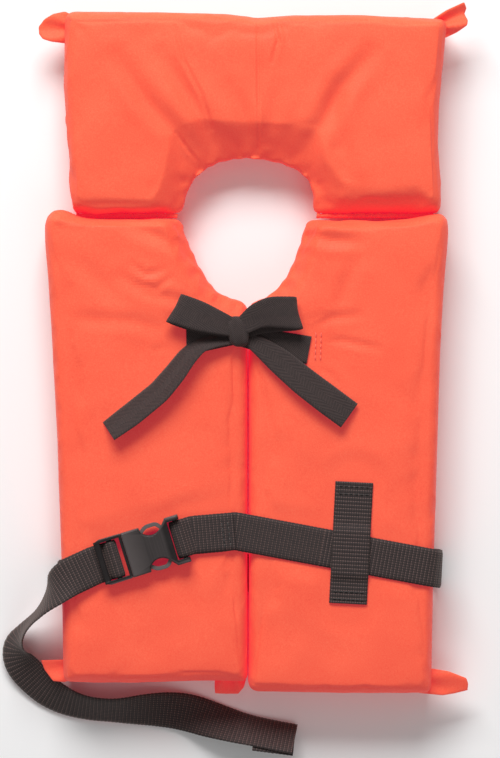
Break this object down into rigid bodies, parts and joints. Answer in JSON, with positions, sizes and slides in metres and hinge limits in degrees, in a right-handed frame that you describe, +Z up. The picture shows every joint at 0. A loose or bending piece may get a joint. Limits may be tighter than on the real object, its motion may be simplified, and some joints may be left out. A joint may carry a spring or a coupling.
{
  "type": "life jacket",
  "caption": "Keyhole life jacket with two foam front pads, a collar that folds at the shoulders, a tape bow at the neck and a webbing belt with a side-release buckle.",
  "frame": {"origin": "on the surface that the jacket lies on, under the middle of its box without the belt's free tail", "axes": "+Y runs to the collar's top edge, +X to the right as seen from the outer face, +Z up out of the outer face"},
  "size_m": [0.3119, 0.5018, 0.051],
  "materials": {
    "cover_fabric": "woven nylon, matt with a faint sheen",
    "flotation_foam": "closed-cell foam, matt",
    "belt_webbing": "ribbed polypropylene webbing",
    "tie_tape": "twill tape",
    "buckle_plastic": "satin moulded acetal",
    "dark_thread": "bonded sewing thread",
    "orange_thread": "bonded sewing thread"
  },
  "bodies": {
    "front": {"front_left_outer_cover": "cover_fabric", "front_left_inner_cover": "cover_fabric", "front_left_foam_inner": "flotation_foam", "front_left_foam_middle": "flotation_foam", "front_left_foam_outer": "flotation_foam", "front_right_outer_cover": "cover_fabric", "front_right_inner_cover": "cover_fabric", "front_right_foam_inner": "flotation_foam", "front_right_foam_middle": "flotation_foam", "front_right_foam_outer": "flotation_foam", "fold_binding_left": "cover_fabric", "fold_binding_right": "cover_fabric", "belt_webbing": "belt_webbing", "belt_socket_loop": "belt_webbing", "belt_tail": "belt_webbing", "belt_tail_hem": "belt_webbing", "belt_keeper": "belt_webbing", "buckle_plug": "buckle_plastic", "tie_knot": "tie_tape", "tie_anchor_left": "tie_tape", "tie_anchor_right": "tie_tape", "tie_tail_left": "tie_tape", "tie_tail_right": "tie_tape", "tie_loop_left": "tie_tape", "tie_loop_right": "tie_tape", "keeper_stitching": "dark_thread", "belt_loop_stitching": "dark_thread", "tie_anchor_stitching": "orange_thread"},
    "collar": {"collar_outer_cover": "cover_fabric", "collar_inner_cover": "cover_fabric", "collar_foam_inner": "flotation_foam", "collar_foam_middle": "flotation_foam", "collar_foam_outer": "flotation_foam"},
    "buckle_socket": {"buckle_socket": "buckle_plastic"},
    "release_arm_upper": {"release_arm_upper": "buckle_plastic"},
    "release_arm_lower": {"release_arm_lower": "buckle_plastic"}
  },
  "joints": [
    {"name": "collar_fold", "type": "hinge", "parent": "front", "child": "collar", "pos_m": [0, 0.091, 0.02], "axis": [1, 0, 0], "range_deg": [0, 90]},
    {"name": "socket_release", "type": "slide", "parent": "front", "child": "buckle_socket", "axis": [0.9553, 0.2957, 0], "range_m": [0, 0.03], "deforming": ["belt_socket_loop", "belt_loop_stitching", "release_arm_upper", "release_arm_lower"]},
    {"name": "arm_upper_squeeze", "type": "hinge", "parent": "front", "child": "release_arm_upper", "pos_m": [-0.08566, -0.12707, 0.0456], "axis": [0, 0, -1], "range_deg": [0, 7.5], "stiffness_Nm_per_rad": 1.5},
    {"name": "arm_lower_squeeze", "type": "hinge", "parent": "front", "child": "release_arm_lower", "pos_m": [-0.08057, -0.1435, 0.0456], "axis": [0, 0, 1], "range_deg": [0, 7.5], "stiffness_Nm_per_rad": 1.5}
  ]
}
